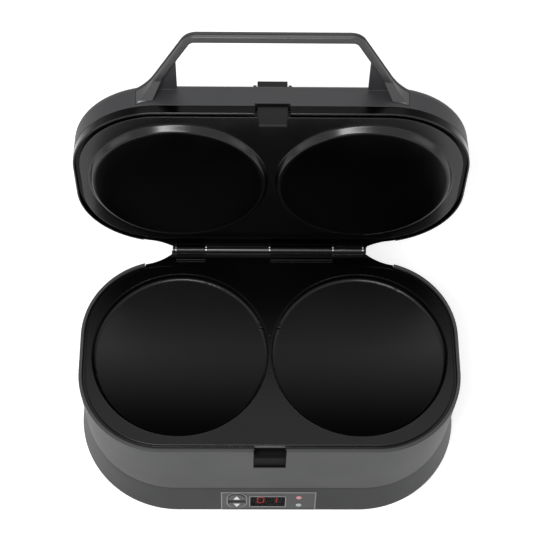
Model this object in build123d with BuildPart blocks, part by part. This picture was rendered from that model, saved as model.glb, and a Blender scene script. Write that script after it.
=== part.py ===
from build123d import *
from math import atan2, cos, degrees, hypot, radians, sin, sqrt
import os

os.makedirs("parts", exist_ok=True)

# Twin pancake maker, standing open. Millimetres, +Z up, +X to the viewer's right, +Y to the hinge.
# The origin is on the table, in the middle of the width and of the depth of the open appliance.

# Wells and the outline that grows from them
well_radius = 71.2
well_depth = 6.0
well_draft = 1.2
well_floor_fillet = 2.6
well_mouth_fillet = 0.8
septum = 2.0
side_border = 9.95
front_border = 13.2
side_flat = 32.8
origin_back = 27.17

# Housing
foot_height = 3.0
lower_height = 38.5
upper_height = 81.5
wall = 2.6
seam_flare = 1.65
seam_flat = 17.0
foot_flare = 8.0
foot_flat = 13.8
rim_fillet = 1.0
seam_chamfer = 0.5
base_edge_fillet = 1.2

# Cooking plates
deck_inset = 5.2
deck_thickness = 3.0
deck_fillet = 0.8
flange_drop = 2.5
flange_thickness = 2.5
base_flange_inset = 2.9
lid_edge_inset = 0.1
lid_edge_width = 1.5
lid_edge_gap = 0.6
lid_edge_chamfer = 0.4
flange_width = 8.0
closed_gap = 1.0
well_skin = 3.0

# Raised discs on the lid plate, which reach into the wells
disc_clearance = 1.2
disc_height = 4.3
disc_slope = 2.9
disc_crest_fillet = 1.2
disc_root_fillet = 0.8
lid_deck_thickness = 4.0
lid_skin = 3.5
lid_tongue_level = 1.6
lid_tongue_thickness = 4.9
lid_pocket_radius = 60.0

# Hinge
hinge_overhang = 10.0
open_angle = 95.75
barrel_radius = 3.0
pin_radius = 1.6
pin_recess = 0.4
pin_clip_thickness = 0.6
running_clearance = 0.05
short_knuckle = 25.0
long_knuckle = 53.0
knuckle_gap = 1.0
cheek_width = 3.2
apron_clearance = 0.6
apron_thickness = 1.6
apron_angles = (140.0, 105.0, 75.0)
tongue_thickness = 3.5
tongue_neck = 22.0
tongue_inset = 2.6
leaf_ridge_radius = 1.6

# Lid shell and its handle
lid_rim_height = 8.0
lid_height = 31.4
lid_fillet = 9.0
lid_draft = 0.6
handle_reach = 60.4
handle_half_top = 62.6
handle_half_root = 96.6
handle_root_back = 0.5
handle_shoulder = 22.0
handle_shoulder_length = 26.0
handle_outer_radius = 13.0
handle_root_radius = 50.0
handle_inner_radius = 5.0
handle_leg_width = 6.6
handle_bar_depth = 7.4
handle_web_half = 71.0
handle_top = 26.8
handle_split = 23.6
handle_bottom = 20.3
handle_fillet = 2.2
liner_step = 0.5
liner_fillet = 1.4
liner_root_height = 8.6
liner_root_rise = 3.4
liner_root_reach = 14.0
post_radius = 4.0
peg_radius = 2.0
peg_length = 8.0

# Latch
latch_width = 22.6
latch_thickness = 2.0
latch_gap = 0.4
latch_side_clearance = 0.9
pivot_height = 18.0
pivot_back = 5.8
pivot_radius = 1.25
hub_radius = 3.2
nose_depth = 2.1
nose_height = 3.2
tab_height = 35.6
tab_thickness = 3.0
tab_slot_back = 10.8
ear_thickness = 2.5
ear_gap = 0.6
spring_height = 25.0
spring_radius = 2.4
spring_wire = 0.6
spring_turns = 5
spring_length = 6.4

# Latch pocket in the front of the upper housing
pocket_depth = 34.8
pocket_wall = 0.8
pocket_back = 9.0
catch_drop = 14.0
catch_round = 5.0

# Columns, bosses and screws
column_radius = 4.5
column_x = 52.0
column_inset = 9.0
pad_height = 3.4
screw_radius = 1.4
screw_clearance = 0.05
screw_head_radius = 2.9
screw_head_height = 1.8
housing_screw_length = 18.0
plate_screw_length = 15.0
clamp_screw_length = 6.4
boss_radius = 4.0
boss_inset = 11.2
lug_thickness = 3.0

# Heating
element_radius = 45.0
element_tube = 3.25
element_seat = 0.15
element_opening = 35.0
terminal_radius = 1.8
terminal_length = 16.0
clamp_width = 12.0
clamp_thickness = 1.2
shield_thickness = 0.8
base_shield_drop = 20.0
base_shield_inset = 14.5
lid_shield_height = 15.5
lid_shield_inset = 16.0
thermostat_radius = 8.0
thermostat_height = 9.0
tag_size = (0.8, 6.3)
tag_x = 3.5
fuse_radius = 2.0
fuse_length = 12.0
fuse_clip_thickness = 0.8

# Control panel, measured down the slope of the lower housing from the seam
panel_width = 80.0
panel_from = 7.1
panel_to = 37.6
panel_thickness = 1.2
panel_border = 1.0
panel_border_height = 0.3
window_width = 29.2
window_height = 16.8
window_x = -0.6
window_s = 23.4
button_x = -26.6
button_s = 21.5
button_width = 14.2
button_span = 23.0
button_split = 5.0
button_clearance = 0.3
button_proud = 1.2
button_travel = 0.8
button_flange = 1.0
button_flange_length = 10.2
button_flange_gap = 0.6
button_flange_thickness = 0.9
button_stem_radius = 2.0
lamp_x = 25.6
power_lamp_s = 16.4
ready_lamp_s = 29.4
lamp_radius = 2.4
lamp_proud = 0.5
panel_seat = 0.1
panel_side_ledge = 3.5
panel_end_ledge = 1.6

# Electronics
board_depth = 9.2
board_thickness = 1.6
board_width = 90.0
board_from = 9.5
board_to = 34.5
board_post_x = 41.8
board_post_radius = 2.6
board_peg_radius = 1.5
switch_side = 6.0
switch_body = 3.8
switch_plunger_radius = 1.7
switch_plunger = 1.0
power_board_size = (70.0, 46.0)
power_board_x = 45.0
standoff_height = 6.0

# Bottom
cover_thickness = 2.6
cover_ledge = 2.0
cover_clearance = 0.3
foot_radius = 9.0
foot_x = 104.0
foot_y = 64.0
vent_x = 55.0
vent_y = -30.0
vent_length = 26.0
vent_width = 3.0
vent_pitch = 7.5
vent_count = 6
gland_x = 70.0
gland_s = 22.0
gland_bore = 3.6
gland_radius = 5.6
gland_flange = 2.0

# Sizes that follow from the ones above
well_spacing = 2 * well_radius + septum
body_width = well_spacing + 2 * (well_radius + side_border)
body_depth = 2 * (well_radius + front_border)
base_height = lower_height + upper_height
rim_z = foot_height + base_height
hinge_reach = body_depth / 2 + hinge_overhang
half_hinge = short_knuckle + long_knuckle
cheek_reach = half_hinge + cheek_width
knuckles = [-cheek_reach, -half_hinge, -long_knuckle, 0.0, long_knuckle, half_hinge, cheek_reach]
apron_radius = barrel_radius + apron_clearance

# Two frames carry the part. Each has its origin in the middle between the wells, at the base rim's
# height, and its +Z through the plate. The lid's frame is the base's, turned open about the hinge.
turn = radians(open_angle)
base = Plane(origin=(0, -origin_back, rim_z), x_dir=(1, 0, 0), z_dir=(0, 0, 1))
hinge_point = base.from_local_coords((0, hinge_reach, 0))
hinge = Plane(origin=hinge_point, x_dir=(1, 0, 0), z_dir=(0, sin(turn), cos(turn)))
lid = Plane(origin=hinge.from_local_coords((0, -hinge_reach, 0)), x_dir=(1, 0, 0), z_dir=hinge.z_dir)


def side(frame, x=0.0):
    """Plane across the part at x, whose x and y are the frame's y and z."""
    return Plane(origin=frame.from_local_coords((x, 0, 0)), x_dir=frame.y_dir, z_dir=frame.x_dir)


def outline_at(level, inset=0.0):
    """Width, depth and corner radius of the housing at a level below the rim, drawn in by inset."""
    if level <= upper_height:
        share, start, end = level / upper_height, (0, side_flat), (seam_flare, seam_flat)
    else:
        share = (level - upper_height) / lower_height
        start, end = (seam_flare, seam_flat), (foot_flare, foot_flat)
    grow = start[0] + share * (end[0] - start[0])
    flat = start[1] + share * (end[1] - start[1])
    width = body_width + 2 * grow
    depth = body_depth + 2 * grow
    return width - 2 * inset, depth - 2 * inset, (depth - flat) / 2 - inset


def rim_outline(inset):
    """The outline of the rim, drawn in by inset."""
    return outline_at(0.0, inset)


def band(levels):
    """A solid through the housing's outline at each (level, inset) in turn."""
    with BuildPart() as solid:
        for above, below in zip(levels, levels[1:]):
            for level, inset in (above, below):
                with BuildSketch(base.offset(-level)):
                    RectangleRounded(*outline_at(level, inset))
            loft(ruled=True)
    return solid.part


def tongue_reach(level):
    """How far back a tongue at this level goes before it would touch the barrels of the other plate."""
    return hinge_reach - sqrt(apron_radius ** 2 - min(abs(level), flange_drop) ** 2)


def tongue(frame, level, grow=0.0):
    """Outline of the hinge tongue behind a plate, with its concave necks."""
    reach = tongue_reach(level) + grow
    half_tip = cheek_reach + grow
    half_root = cheek_reach + tongue_neck + grow
    root = body_depth / 2 - deck_inset - 4
    back = body_depth / 2 - tongue_inset + grow
    neck = (half_tip + tongue_neck * 0.4, back + (reach - back) * 0.42)
    with BuildSketch(frame.offset(level)) as outline:
        with BuildLine():
            for way in (1, -1):
                Line((way * half_root, root), (way * half_root, back))
                ThreePointArc((way * half_root, back), (way * neck[0], neck[1]),
                              (way * half_tip, reach))
            Line((-half_tip, reach), (half_tip, reach))
            Line((-half_root, root), (half_root, root))
        make_face()
    return outline.sketch


def knuckle_spans(first):
    """Every other knuckle as (start, end), from the knuckle with this number."""
    half_gap = knuckle_gap / 2
    return [(knuckles[i] + half_gap, knuckles[i + 1] - half_gap)
            for i in range(first, len(knuckles) - 1, 2)]


def hinge_half(frame, way, level, thickness, first):
    """Tongue, leaves and barrels of one plate, and the aprons that it lays round the other's barrels."""
    far = level + thickness
    root = tongue_reach(level) - 4.0
    wedge = [(hinge_reach, 0)]
    for angle in apron_angles:
        wedge.append((hinge_reach + 3 * apron_radius * cos(radians(angle)),
                      way * 3 * apron_radius * sin(radians(angle))))
    with BuildPart() as half:
        extrude(tongue(frame, way * level), amount=way * thickness)
        for start, end in knuckle_spans(first):
            with BuildSketch(side(frame, start)):
                with BuildLine():
                    Polyline((root, way * level), (root, way * far),
                             (hinge_reach - barrel_radius / 2, way * far),
                             (hinge_reach + barrel_radius * 0.65, way * barrel_radius * 0.75),
                             (hinge_reach, 0), (hinge_reach - barrel_radius / 2, way * level), close=True)
                make_face()
                with Locations((hinge_reach, 0)):
                    Circle(barrel_radius)
            extrude(amount=end - start)
        for start, end in knuckle_spans(1 - first):
            with BuildSketch(side(frame, start - knuckle_gap)):
                with Locations((hinge_reach, 0)):
                    Circle(apron_radius + apron_thickness)
                    Circle(apron_radius, mode=Mode.SUBTRACT)
                with BuildLine():
                    Polyline(*wedge, close=True)
                make_face(mode=Mode.INTERSECT)
            extrude(amount=end - start + 2 * knuckle_gap)
    return half.part


def rod(frame, start, end, radius, reach, height):
    """A round bar along X, from start to end, at this reach and height in the frame."""
    with BuildPart() as bar:
        with BuildSketch(side(frame, start)):
            with Locations((reach, height)):
                Circle(radius)
        extrude(amount=end - start)
    return bar.part


def post(frame, points, radius, start, end):
    """Round posts at these points, from the start height to the end height."""
    with BuildPart() as posts:
        with BuildSketch(frame.offset(start)):
            with Locations(*points):
                Circle(radius)
        extrude(amount=end - start)
    return posts.part


def block(frame, size, middle, start, end):
    """A box of this size across X and Y, with its middle there, from start to end in height."""
    with BuildPart() as box:
        with BuildSketch(frame.offset(start)):
            with Locations(middle):
                Rectangle(*size)
        extrude(amount=end - start)
    return box.part


def corner_points(inset):
    """Four points on the diagonals of the rim's corners, this far inside the rim."""
    width, depth, corner = rim_outline(0.0)
    reach = (corner - inset) * cos(radians(45))
    x = width / 2 - corner + reach
    y = depth / 2 - corner + reach
    return [(x, y), (-x, y), (-x, -y), (x, -y)]


column_points = [(x, y) for x in (-column_x, column_x)
                 for y in (-body_depth / 2 + column_inset, body_depth / 2 - column_inset)]
boss_points = corner_points(boss_inset)
pocket_half = latch_width / 2 + latch_side_clearance
front_edge = -body_depth / 2

well_points = [(-well_spacing / 2, 0), (well_spacing / 2, 0)]
shank_hole = screw_radius + screw_clearance
seam_depth = outline_at(upper_height)[1]
slope = atan2(foot_flare - seam_flare, lower_height)

# Upper housing: a tall band with the ledge that the base plate sits on
ledge_level = flange_drop + flange_thickness
tongue_level = flange_drop + tongue_thickness
column_bottom = base_height - cover_thickness - pad_height
column_top = base_shield_drop - 8.0
lug_level = base_shield_drop + shield_thickness
with BuildPart() as upper_housing:
    add(band([(0.0, 0.0), (upper_height - seam_chamfer, 0.0), (upper_height, seam_chamfer)]))
    add(band([(0.0, wall), (upper_height, wall)]), mode=Mode.SUBTRACT)
    fillet(upper_housing.faces().sort_by(Axis.Z)[-1].outer_wire().edges(), rim_fillet)
    with BuildSketch(base.offset(-ledge_level)):
        RectangleRounded(*rim_outline(wall / 2))
        RectangleRounded(*rim_outline(wall + 4.0), mode=Mode.SUBTRACT)
    extrude(amount=-3.0)
    # Columns that reach down to the bottom cover, each on a rib from the wall
    add(post(base, column_points, column_radius, -column_top, -column_bottom))
    with BuildSketch(base.offset(-column_top)):
        for x, y in column_points:
            with Locations((x, y + (column_inset - wall / 2) / 2 * (1 if y > 0 else -1))):
                Rectangle(3.0, column_inset - wall / 2)
    extrude(amount=-(upper_height - column_top - 6.0))
    add(post(base, column_points, shank_hole, -column_bottom, -column_bottom + 22.0), mode=Mode.SUBTRACT)
    # Lugs at the corners, under the bosses of the base plate
    lug_reach = boss_inset - wall / 2
    with BuildSketch(base.offset(-lug_level)):
        for x, y in boss_points:
            turned = degrees(atan2(1 if y > 0 else -1, 1 if x > 0 else -1))
            out = (lug_reach - boss_radius) / 2
            with Locations((x + out * cos(radians(turned)), y + out * sin(radians(turned)))):
                Rectangle(lug_reach + boss_radius, 2 * boss_radius + 1, rotation=turned)
    extrude(amount=-lug_thickness)
    add(post(base, boss_points, shank_hole, -lug_level, -lug_level - lug_thickness), mode=Mode.SUBTRACT)
    # Notches for the hinge tongue and for the latch pocket
    extrude(tongue(base, -tongue_level - 0.4, 0.4), amount=tongue_level + 2, mode=Mode.SUBTRACT)
    add(block(base, (2 * (pocket_half + pocket_wall), pocket_back + 4), (0, front_edge + pocket_back / 2 - 2),
              -pocket_depth - pocket_wall, 1), mode=Mode.SUBTRACT)
upper_housing.part.label = "upper_housing"
export_step(upper_housing.part, "parts/upper_housing.step")

# Latch pocket: a black insert that lines the notch, with a rounded block in its lower half
pocket_middle = (0, front_edge + pocket_back / 2)
with BuildPart() as latch_pocket:
    add(block(base, (2 * (pocket_half + pocket_wall), pocket_back), pocket_middle,
              -pocket_depth - pocket_wall, -ledge_level))
    add(block(base, (2 * pocket_half, pocket_back), (0, pocket_middle[1] - pocket_wall),
              -pocket_depth, -ledge_level + 1), mode=Mode.SUBTRACT)
    with BuildSketch(side(base, -pocket_half)):
        with BuildLine():
            front = front_edge + 1.2
            back = front_edge + pocket_back - pocket_wall
            Line((back, -catch_drop), (front + catch_round, -catch_drop))
            RadiusArc((front + catch_round, -catch_drop), (front, -catch_drop - catch_round), -catch_round)
            Polyline((front, -catch_drop - catch_round), (front, -pocket_depth), (back, -pocket_depth),
                     (back, -catch_drop))
        make_face()
    extrude(amount=2 * pocket_half)
latch_pocket.part.label = "latch_pocket"
export_step(latch_pocket.part, "parts/latch_pocket.step")

# Base plate: a casting with two wells, a lower flange around its deck and the hinge tongue
well_bottom = well_depth + well_skin
element_drop = well_bottom + element_seat + element_tube
clamp_drop = element_drop + element_tube + 0.05
sensor_drop = well_bottom + 1.5
fuse_y = 30.0
with BuildPart() as base_plate:
    with BuildSketch(base.offset(-deck_thickness)):
        RectangleRounded(*rim_outline(deck_inset))
    extrude(amount=deck_thickness)
    fillet(base_plate.faces().sort_by(Axis.Z)[-1].outer_wire().edges(), deck_fillet)
    with BuildSketch(base.offset(-flange_drop)):
        RectangleRounded(*rim_outline(base_flange_inset))
        RectangleRounded(*rim_outline(base_flange_inset + flange_width), mode=Mode.SUBTRACT)
    extrude(amount=-flange_thickness)
    add(post(base, well_points, well_radius + well_skin, -deck_thickness, -well_bottom))
    for x, y in well_points:
        with BuildSketch(side(base, x)):
            with BuildLine():
                Polyline((0, 0), (well_radius, 0), (well_radius - well_draft, -well_depth),
                         (0, -well_depth), close=True)
            make_face()
        revolve(axis=Axis(base.from_local_coords((x, y, 0)), (0, 0, 1)), mode=Mode.SUBTRACT)
    rings = base_plate.edges().filter_by(GeomType.CIRCLE)
    mouths = rings.filter_by(lambda ring: abs(ring.radius - well_radius) < 0.01)
    floors = rings.filter_by(lambda ring: abs(ring.radius - well_radius + well_draft) < 0.01)
    fillet(mouths, well_mouth_fillet)
    fillet(floors, well_floor_fillet)
    # Two small dimples on the septum between the wells
    add(post(base, [(0, 14.6), (0, -17.1)], 0.9, -0.8, 0.2), mode=Mode.SUBTRACT)
    # Hinge tongue, with a rounded ridge in front of the base's own barrels
    add(hinge_half(base, -1, flange_drop, tongue_thickness, 1))
    for start, end in knuckle_spans(1)[:2]:
        add(rod(base, start, end, leaf_ridge_radius, body_depth / 2 + 1.3, -flange_drop + 1.2))
    add(rod(base, -cheek_reach - 1, cheek_reach + 1, pin_radius + running_clearance, hinge_reach, 0),
        mode=Mode.SUBTRACT)
    # Bosses and pads underneath
    add(post(base, boss_points, boss_radius, -deck_thickness, -base_shield_drop))
    add(post(base, boss_points, shank_hole, -base_shield_drop, -ledge_level - 2.0), mode=Mode.SUBTRACT)
    add(post(base, well_points, boss_radius, -well_bottom, -clamp_drop))
    add(post(base, well_points, shank_hole, -clamp_drop, -well_bottom - 0.5), mode=Mode.SUBTRACT)
    add(post(base, [(0, 0)], thermostat_radius + 1.5, -well_bottom + 1, -sensor_drop))
    add(block(base, (fuse_length + 6, 12.0), (0, fuse_y), -deck_thickness, -sensor_drop))
    # Clear of the hook at the front
    add(block(base, (2 * pocket_half, 8.0), (0, front_edge + deck_inset - 4.0), -ledge_level - 1, 1),
        mode=Mode.SUBTRACT)
base_plate.part.label = "base_plate"
export_step(base_plate.part, "parts/base_plate.step")


def heating_element(frame, x, way, level):
    """A ring about the well at x, open towards the middle, with terminals that stand off the plate."""
    open_side = radians(180.0 if x > 0 else 0.0)
    half_gap = radians(element_opening / 2)
    middle = frame.from_local_coords((x, 0, level))
    radial = frame.x_dir * cos(open_side + half_gap) + frame.y_dir * sin(open_side + half_gap)
    feet = []
    for angle in (open_side + half_gap + 0.05, open_side - half_gap - 0.05):
        feet.append((x + element_radius * cos(angle), element_radius * sin(angle)))
    with BuildPart() as element:
        with BuildSketch(Plane(origin=middle, x_dir=radial, z_dir=radial.cross(frame.z_dir))):
            with Locations((element_radius, 0)):
                Circle(element_tube)
        revolve(axis=Axis(middle, frame.z_dir), revolution_arc=360.0 - element_opening)
        add(post(frame, feet, terminal_radius, level, level + way * terminal_length))
    return element.part, feet


def heat_shield(frame, way, level, inset, terminals, hole):
    """A sheet with an ear at each corner boss and a hole round each terminal."""
    with BuildPart() as sheet:
        with BuildSketch(frame.offset(level)):
            RectangleRounded(*rim_outline(inset))
            for x, y in boss_points:
                turned = degrees(atan2(1 if y > 0 else -1, 1 if x > 0 else -1))
                with Locations((x - 5 * cos(radians(turned)), y - 5 * sin(radians(turned)))):
                    Rectangle(10.0, 2 * boss_radius, rotation=turned)
            with Locations(*boss_points):
                Circle(boss_radius)
                Circle(hole, mode=Mode.SUBTRACT)
            with Locations(*terminals):
                Circle(terminal_radius + 2.0, mode=Mode.SUBTRACT)
        extrude(amount=way * shield_thickness)
    return sheet.part


def element_clamps(frame, way, level):
    """A strip under each ring element, held on the middle boss."""
    with BuildPart() as strips:
        for point in well_points:
            add(block(frame, (clamp_width, 2 * (element_radius + 7)), point, level,
                      level + way * clamp_thickness))
        add(post(frame, well_points, shank_hole, level, level + way * clamp_thickness), mode=Mode.SUBTRACT)
    return strips.part


def screws(frame, points, way, level, length):
    """Screws with their heads from this level on, and their shanks the other way."""
    with BuildPart() as fasteners:
        add(post(frame, points, screw_head_radius, level, level + way * screw_head_height))
        add(post(frame, points, screw_radius, level, level - way * length))
        with BuildSketch(frame.offset(level + way * screw_head_height)):
            with Locations(*points):
                Rectangle(3.2, 0.8)
                Rectangle(0.8, 3.2)
        extrude(amount=-way * 0.9, mode=Mode.SUBTRACT)
    return fasteners.part


# Base heating: a ring under each well, its clamp, and the sheet that shields the electronics
for name, x in (("left", well_points[0][0]), ("right", well_points[1][0])):
    ring, feet = heating_element(base, x, -1, -element_drop)
    with BuildPart() as base_element:
        add(ring)
    base_element.part.label = "base_heating_element_" + name
    export_step(base_element.part, "parts/base_heating_element_" + name + ".step")

base_terminals = []
lid_terminals = []
lid_back = closed_gap - disc_height + lid_skin
lid_element_level = lid_back + element_seat + element_tube
lid_clamp_level = lid_element_level + element_tube + 0.05
for x, y in well_points:
    base_terminals += heating_element(base, x, -1, -element_drop)[1]

with BuildPart() as base_element_clamps:
    add(element_clamps(base, -1, -clamp_drop))
base_element_clamps.part.label = "base_element_clamps"
export_step(base_element_clamps.part, "parts/base_element_clamps.step")

with BuildPart() as base_clamp_screws:
    add(screws(base, well_points, -1, -clamp_drop - clamp_thickness, clamp_screw_length))
base_clamp_screws.part.label = "base_clamp_screws"
export_step(base_clamp_screws.part, "parts/base_clamp_screws.step")

with BuildPart() as base_heat_shield:
    add(heat_shield(base, -1, -base_shield_drop, base_shield_inset, base_terminals, shank_hole))
base_heat_shield.part.label = "base_heat_shield"
export_step(base_heat_shield.part, "parts/base_heat_shield.step")

with BuildPart() as base_plate_screws:
    add(screws(base, boss_points, -1, -lug_level - lug_thickness, plate_screw_length))
base_plate_screws.part.label = "base_plate_screws"
export_step(base_plate_screws.part, "parts/base_plate_screws.step")

# Thermostat and thermal fuse, under their pads on the base plate
with BuildPart() as thermostat:
    add(post(base, [(0, 0)], thermostat_radius, -sensor_drop, -sensor_drop - thermostat_height * 0.45))
    add(post(base, [(0, 0)], thermostat_radius - 1.5, -sensor_drop, -sensor_drop - thermostat_height * 0.75))
    for x in (-tag_x, tag_x):
        add(block(base, tag_size, (x, 0), -sensor_drop - 1, -sensor_drop - thermostat_height))
thermostat.part.label = "thermostat"
export_step(thermostat.part, "parts/thermostat.step")

fuse_level = -sensor_drop - fuse_radius - 0.1
with BuildPart() as thermal_fuse:
    add(rod(base, -fuse_length / 2, fuse_length / 2, fuse_radius, fuse_y, fuse_level))
    add(rod(base, -fuse_length, fuse_length, 0.5, fuse_y, fuse_level))
thermal_fuse.part.label = "thermal_fuse"
export_step(thermal_fuse.part, "parts/thermal_fuse.step")

with BuildPart() as fuse_clip:
    clip_bore = fuse_radius + 0.1
    add(rod(base, -3.0, 3.0, clip_bore + fuse_clip_thickness, fuse_y, fuse_level))
    add(block(base, (6.0, 12.0), (0, fuse_y), -sensor_drop, -sensor_drop - fuse_clip_thickness))
    add(rod(base, -3.5, 3.5, clip_bore, fuse_y, fuse_level), mode=Mode.SUBTRACT)
    add(block(base, (7.0, 14.0), (0, fuse_y), -sensor_drop, -sensor_drop + 3.0), mode=Mode.SUBTRACT)
    add(block(base, (7.0, 2 * clip_bore), (0, fuse_y), -sensor_drop, fuse_level), mode=Mode.SUBTRACT)
fuse_clip.part.label = "fuse_clip"
export_step(fuse_clip.part, "parts/fuse_clip.step")

# Two planes on the sloped faces of the lower housing, with their origins on the seam and +Y up the slope
front = Plane(origin=base.from_local_coords((0, -seam_depth / 2, -upper_height)), x_dir=(1, 0, 0),
              z_dir=(0, -cos(slope), sin(slope)))
rear = Plane(origin=base.from_local_coords((0, seam_depth / 2, -upper_height)), x_dir=(-1, 0, 0),
             z_dir=(0, cos(slope), sin(slope)))
panel_height = panel_to - panel_from
panel_y = -(panel_from + panel_to) / 2
board_posts = [(-board_post_x, panel_y), (board_post_x, panel_y)]
gland_point = (-gland_x, -gland_s)

# Lower housing: it flares out to the bottom, laps inside the upper one and carries the panel
cover_level = base_height - cover_thickness
lap = 3.0
with BuildPart() as lower_housing:
    add(band([(upper_height, seam_chamfer), (upper_height + seam_chamfer, 0.0),
              (base_height - base_edge_fillet, 0.0), (base_height, base_edge_fillet)]))
    add(band([(upper_height, wall), (base_height, wall)]), mode=Mode.SUBTRACT)
    with BuildSketch(base.offset(-upper_height)):
        RectangleRounded(*outline_at(upper_height, wall / 2))
        RectangleRounded(*outline_at(upper_height, wall + 2.0), mode=Mode.SUBTRACT)
    extrude(amount=-lap)
    with BuildSketch(base.offset(-upper_height)):
        RectangleRounded(*outline_at(upper_height, wall + 0.15))
        RectangleRounded(*outline_at(upper_height, wall + 2.0), mode=Mode.SUBTRACT)
    extrude(amount=lap)
    with BuildSketch(base.offset(-cover_level + cover_ledge)):
        RectangleRounded(*outline_at(cover_level, wall / 2 + 0.4))
        RectangleRounded(*outline_at(cover_level, wall + 4.0), mode=Mode.SUBTRACT)
    extrude(amount=-cover_ledge)
    add(block(front, (panel_width, panel_height), (0, panel_y), -panel_thickness, 2.0), mode=Mode.SUBTRACT)
    add(block(front, (panel_width - 2 * panel_side_ledge, panel_height - 2 * panel_end_ledge), (0, panel_y),
              -5.5, 1.0), mode=Mode.SUBTRACT)
    add(post(front, board_posts, board_post_radius, -panel_thickness - 0.6, -board_depth))
    add(post(front, board_posts, board_peg_radius, -board_depth, -board_depth - board_thickness - 1.0))
    add(post(rear, [gland_point], gland_radius + 0.05, -8.0, 1.0), mode=Mode.SUBTRACT)
lower_housing.part.label = "lower_housing"
export_step(lower_housing.part, "parts/lower_housing.step")

with BuildPart() as cord_gland:
    add(post(rear, [gland_point], gland_radius + 2.4, 0.05, gland_flange))
    add(post(rear, [gland_point], gland_radius, -wall - 2.0, 0.05))
    add(post(rear, [gland_point], gland_radius + 1.0, -wall - 2.0, -wall - 0.1))
    fillet(cord_gland.faces().sort_by(Axis.Y)[-1].outer_wire().edges(), 0.8)
    add(post(rear, [gland_point], gland_bore, -wall - 3.0, gland_flange + 1.0), mode=Mode.SUBTRACT)
cord_gland.part.label = "cord_gland"
export_step(cord_gland.part, "parts/cord_gland.step")


def button_half(way):
    """The upper or lower half of the oval, cut off straight at the split."""
    with BuildSketch(front) as half:
        with Locations((button_x, -button_s)):
            SlotOverall(button_span, button_width, rotation=90)
        with Locations((button_x, -button_s + way * (button_split + button_span) / 2)):
            Rectangle(button_width + 4, button_span, mode=Mode.INTERSECT)
    return half.sketch


# Control panel, with a raised border, a window, the oval opening of the buttons and the two lamp holes
lamp_points = [(lamp_x, -power_lamp_s), (lamp_x, -ready_lamp_s)]
window_point = (window_x, -window_s)
with BuildPart() as control_panel:
    with BuildSketch(front.offset(-panel_thickness)):
        with Locations((0, panel_y)):
            RectangleRounded(panel_width - 2 * panel_seat, panel_height - 2 * panel_seat, 0.6)
    extrude(amount=panel_thickness)
    with BuildSketch(front):
        with Locations((0, panel_y)):
            RectangleRounded(panel_width - 2 * panel_seat, panel_height - 2 * panel_seat, 0.6)
            RectangleRounded(panel_width - 2 * (panel_seat + panel_border),
                             panel_height - 2 * (panel_seat + panel_border), 0.5, mode=Mode.SUBTRACT)
    extrude(amount=panel_border_height)
    add(block(front, (window_width, window_height), window_point, -panel_thickness, 1.0), mode=Mode.SUBTRACT)
    with BuildSketch(front):
        with Locations((button_x, -button_s)):
            SlotOverall(button_span + 2 * button_clearance, button_width + 2 * button_clearance, rotation=90)
    extrude(amount=-panel_thickness, mode=Mode.SUBTRACT)
    add(post(front, lamp_points, lamp_radius + 0.1, -panel_thickness, 1.0), mode=Mode.SUBTRACT)
control_panel.part.label = "control_panel"
export_step(control_panel.part, "parts/control_panel.step")

with BuildPart() as display_lens:
    add(block(front, (window_width - 0.2, window_height - 0.2), window_point, -panel_thickness, 0.0))
    add(block(front, (window_width + 2.0, window_height + 3.0), window_point,
              -panel_thickness - 1.0, -panel_thickness))
display_lens.part.label = "display_lens"
export_step(display_lens.part, "parts/display_lens.step")

with BuildPart() as display_module:
    add(block(front, (window_width - 1.4, window_height - 1.4), window_point,
              -board_depth, -panel_thickness - 1.7))
display_module.part.label = "display_module"
export_step(display_module.part, "parts/display_module.step")

# Up and down buttons: each has a flange that keeps it behind the panel and a stem towards its switch
stem_end = -board_depth + switch_body + switch_plunger + button_travel + 0.05
switch_points = []
for name, way in (("up", 1), ("down", -1)):
    half_middle = (button_x, -button_s + way * (button_split + button_span) / 4)
    switch_points.append(half_middle)
    with BuildPart() as button:
        extrude(button_half(way), amount=button_proud)
        fillet(button.faces().sort_by(Axis(front.origin, front.z_dir))[-1].edges(), 0.5)
        extrude(button_half(way), amount=-panel_thickness - 0.1)
        flange_level = -panel_thickness - 0.1
        flange_middle = (button_x, -button_s + way * (button_flange_gap + button_flange_length) / 2)
        add(block(front, (button_width + 2 * button_flange, button_flange_length), flange_middle,
                  flange_level, flange_level - button_flange_thickness))
        add(post(front, [half_middle], button_stem_radius, flange_level, stem_end))
    button.part.label = name + "_button"
    export_step(button.part, "parts/" + name + "_button.step")

for name, point in (("power", lamp_points[0]), ("ready", lamp_points[1])):
    with BuildPart() as lamp:
        add(post(front, [point], lamp_radius, -board_depth, lamp_proud))
        fillet(lamp.faces().sort_by(Axis(front.origin, front.z_dir))[-1].edges(), lamp_proud)
    lamp.part.label = name + "_led"
    export_step(lamp.part, "parts/" + name + "_led.step")

# Control board with the push switches under the buttons
with BuildPart() as control_board:
    add(block(front, (board_width, board_to - board_from), (0, -(board_from + board_to) / 2),
              -board_depth - board_thickness, -board_depth))
    add(post(front, board_posts, board_peg_radius + 0.1, -board_depth - board_thickness, -board_depth),
        mode=Mode.SUBTRACT)
control_board.part.label = "control_board"
export_step(control_board.part, "parts/control_board.step")

with BuildPart() as button_switches:
    for point in switch_points:
        add(block(front, (switch_side, switch_side), point, -board_depth, -board_depth + switch_body))
    add(post(front, switch_points, switch_plunger_radius, -board_depth + switch_body,
             -board_depth + switch_body + switch_plunger))
button_switches.part.label = "button_switches"
export_step(button_switches.part, "parts/button_switches.step")

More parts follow.
